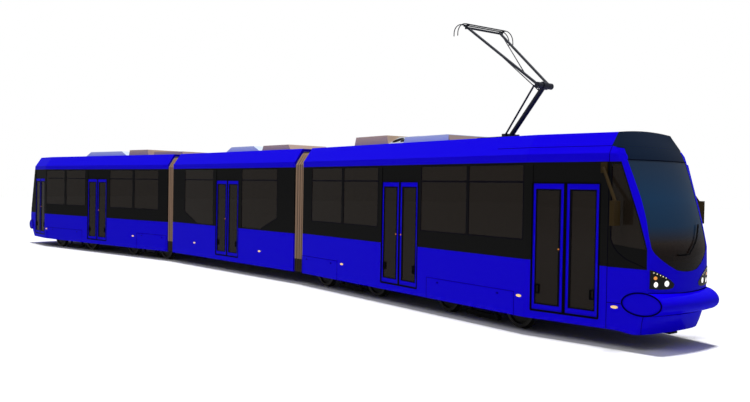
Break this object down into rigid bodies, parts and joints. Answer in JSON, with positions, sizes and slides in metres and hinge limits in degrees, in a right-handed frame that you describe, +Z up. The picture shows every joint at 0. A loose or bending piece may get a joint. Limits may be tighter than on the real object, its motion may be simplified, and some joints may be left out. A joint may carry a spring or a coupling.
{
  "type": "articulated tram",
  "caption": "Articulated tram with hinged sections, swivelling bogies, rail wheelsets, doors on one side and a raised single-arm pantograph.",
  "frame": {"origin": "under the middle of the whole train, on the plane of the wheel flanges' lowest points", "axes": "+X forward along the middle section, +Y to the vehicle's left, +Z up"},
  "size_m": [25.647, 3.5246, 5.4355],
  "materials": {
    "blue_paint": "gloss blue paint with a black window band",
    "door_paint": "gloss blue paint",
    "dark_glass": "tinted glass",
    "dark_gloss": "dark gloss fairing",
    "lamp_unit": "black lamp unit",
    "red_lens": "red lens",
    "black_plastic": "black plastic",
    "seat_shell": "seat shells",
    "lining": "pale lining",
    "roof_case": "beige grey paint",
    "gaiter_cloth": "beige brown folded cloth",
    "underframe": "dark grey floor and underframe",
    "bogie_paint": "dark grey paint",
    "wheel_steel": "worn steel",
    "panto_metal": "grey paint"
  },
  "bodies": {
    "middle_section": {"mid_floor": "underframe", "mid_sides": "blue_paint", "mid_roof": "blue_paint", "mid_portals": "lining", "mid_glazing": "dark_glass", "mid_doors": "door_paint", "mid_seats": "seat_shell", "mid_roof_box": "roof_case", "gaiter_front": "gaiter_cloth", "gaiter_rear": "gaiter_cloth"},
    "front_section": {"front_floor": "underframe", "front_underframe": "underframe", "front_sides": "blue_paint", "front_roof": "blue_paint", "front_portal": "lining", "front_glazing": "dark_glass", "front_doors": "door_paint", "front_seats": "seat_shell", "nose": "blue_paint", "windscreen": "dark_glass", "roof_fairing": "dark_gloss", "headlamps": "lamp_unit", "front_bumper": "blue_paint", "cab_desk": "black_plastic", "mirrors": "black_plastic", "front_roof_boxes": "roof_case", "panto_base": "panto_metal"},
    "rear_section": {"rear_floor": "underframe", "rear_underframe": "underframe", "rear_sides": "blue_paint", "rear_roof": "blue_paint", "rear_portal": "lining", "rear_glazing": "dark_glass", "rear_doors": "door_paint", "rear_seats": "seat_shell", "tail_shell": "blue_paint", "tail_window": "dark_glass", "tail_lamps": "red_lens", "rear_bumper": "blue_paint", "rear_roof_boxes": "roof_case"},
    "bogie_1": {"bogie_1": "bogie_paint"},
    "wheelset_1": {"wheelset_1": "wheel_steel"},
    "wheelset_2": {"wheelset_2": "wheel_steel"},
    "bogie_2": {"bogie_2": "bogie_paint"},
    "wheelset_3": {"wheelset_3": "wheel_steel"},
    "wheelset_4": {"wheelset_4": "wheel_steel"},
    "bogie_3": {"bogie_3": "bogie_paint"},
    "wheelset_5": {"wheelset_5": "wheel_steel"},
    "wheelset_6": {"wheelset_6": "wheel_steel"},
    "bogie_4": {"bogie_4": "bogie_paint"},
    "wheelset_7": {"wheelset_7": "wheel_steel"},
    "wheelset_8": {"wheelset_8": "wheel_steel"},
    "panto_lower_arm": {"panto_lower_arm": "panto_metal"},
    "panto_upper_arm": {"panto_upper_arm": "panto_metal"},
    "panto_rod": {"panto_rod": "panto_metal"},
    "panto_head": {"panto_head": "panto_metal"}
  },
  "joints": [
    {"name": "front_articulation", "type": "hinge", "parent": "middle_section", "child": "front_section", "pos_m": [3.339, 0.587, 0.616], "axis": [0, 0, 1], "range_deg": [-16.2, 27.8], "deforming": ["gaiter_front"]},
    {"name": "rear_articulation", "type": "hinge", "parent": "middle_section", "child": "rear_section", "pos_m": [-3.311, 0.587, 0.616], "axis": [0, 0, 1], "range_deg": [-31.1, 12.9], "deforming": ["gaiter_rear"]},
    {"name": "bogie_1_swivel", "type": "hinge", "parent": "front_section", "child": "bogie_1", "pos_m": [9.22471, -0.01085, 0.726], "axis": [0, 0, 1], "range_deg": [-6.1, 10.9]},
    {"name": "wheelset_1_spin", "type": "hinge", "parent": "bogie_1", "child": "wheelset_1", "pos_m": [10.165, -0.14635, 0.353], "axis": [0.1426, 0.9898, 0], "continuous": true},
    {"name": "wheelset_2_spin", "type": "hinge", "parent": "bogie_1", "child": "wheelset_2", "pos_m": [8.28443, 0.12465, 0.353], "axis": [0.1426, 0.9898, 0], "continuous": true},
    {"name": "bogie_2_swivel", "type": "hinge", "parent": "front_section", "child": "bogie_2", "pos_m": [4.9905, 0.41925, 0.726], "axis": [0, 0, 1], "range_deg": [-10.9, 6.1]},
    {"name": "wheelset_3_spin", "type": "hinge", "parent": "bogie_2", "child": "wheelset_3", "pos_m": [5.93883, 0.3629, 0.353], "axis": [0.0593, 0.9982, 0], "continuous": true},
    {"name": "wheelset_4_spin", "type": "hinge", "parent": "bogie_2", "child": "wheelset_4", "pos_m": [4.04217, 0.47559, 0.353], "axis": [0.0593, 0.9982, 0], "continuous": true},
    {"name": "bogie_3_swivel", "type": "hinge", "parent": "rear_section", "child": "bogie_3", "pos_m": [-4.95011, 0.32446, 0.726], "axis": [0, 0, 1], "range_deg": [-6.1, 10.9]},
    {"name": "wheelset_5_spin", "type": "hinge", "parent": "bogie_3", "child": "wheelset_5", "pos_m": [-4.00659, 0.43529, 0.353], "axis": [-0.1167, 0.9932, 0], "continuous": true},
    {"name": "wheelset_6_spin", "type": "hinge", "parent": "bogie_3", "child": "wheelset_6", "pos_m": [-5.89362, 0.21362, 0.353], "axis": [-0.1167, 0.9932, 0], "continuous": true},
    {"name": "bogie_4_swivel", "type": "hinge", "parent": "rear_section", "child": "bogie_4", "pos_m": [-9.36483, -0.38267, 0.726], "axis": [0, 0, 1], "range_deg": [-10.9, 6.1]},
    {"name": "wheelset_7_spin", "type": "hinge", "parent": "bogie_4", "child": "wheelset_7", "pos_m": [-8.43391, -0.19327, 0.353], "axis": [-0.1994, 0.9799, 0], "continuous": true},
    {"name": "wheelset_8_spin", "type": "hinge", "parent": "bogie_4", "child": "wheelset_8", "pos_m": [-10.29576, -0.57207, 0.353], "axis": [-0.1994, 0.9799, 0], "continuous": true},
    {"name": "panto_raise", "type": "hinge", "parent": "front_section", "child": "panto_lower_arm", "pos_m": [9.04464, 0.00744, 3.306], "axis": [-0.1011, -0.9949, 0], "range_deg": [-41.5, 11.5]},
    {"name": "panto_knee", "type": "hinge", "parent": "panto_lower_arm", "child": "panto_upper_arm", "pos_m": [9.83214, -0.07255, 4.1608], "axis": [-0.1011, -0.9949, 0], "range_deg": [-22.12, 78.52]},
    {"name": "panto_head_tilt", "type": "hinge", "parent": "panto_upper_arm", "child": "panto_head", "pos_m": [8.29895, 0.08319, 5.36049], "axis": [-0.1011, -0.9949, 0], "range_deg": [-37.02, 10.62]},
    {"name": "panto_rod_swing", "type": "hinge", "parent": "front_section", "child": "panto_rod", "pos_m": [9.12215, -0.2487, 3.306], "axis": [-0.1011, -0.9949, 0], "range_deg": [-45.32, 12.92]}
  ],
  "couplings": [
    {"joint": "panto_knee", "follows": "panto_raise", "ratio": -1.88},
    {"joint": "panto_head_tilt", "follows": "panto_raise", "ratio": 0.88},
    {"joint": "panto_rod_swing", "follows": "panto_raise", "ratio": 1.08}
  ]
}
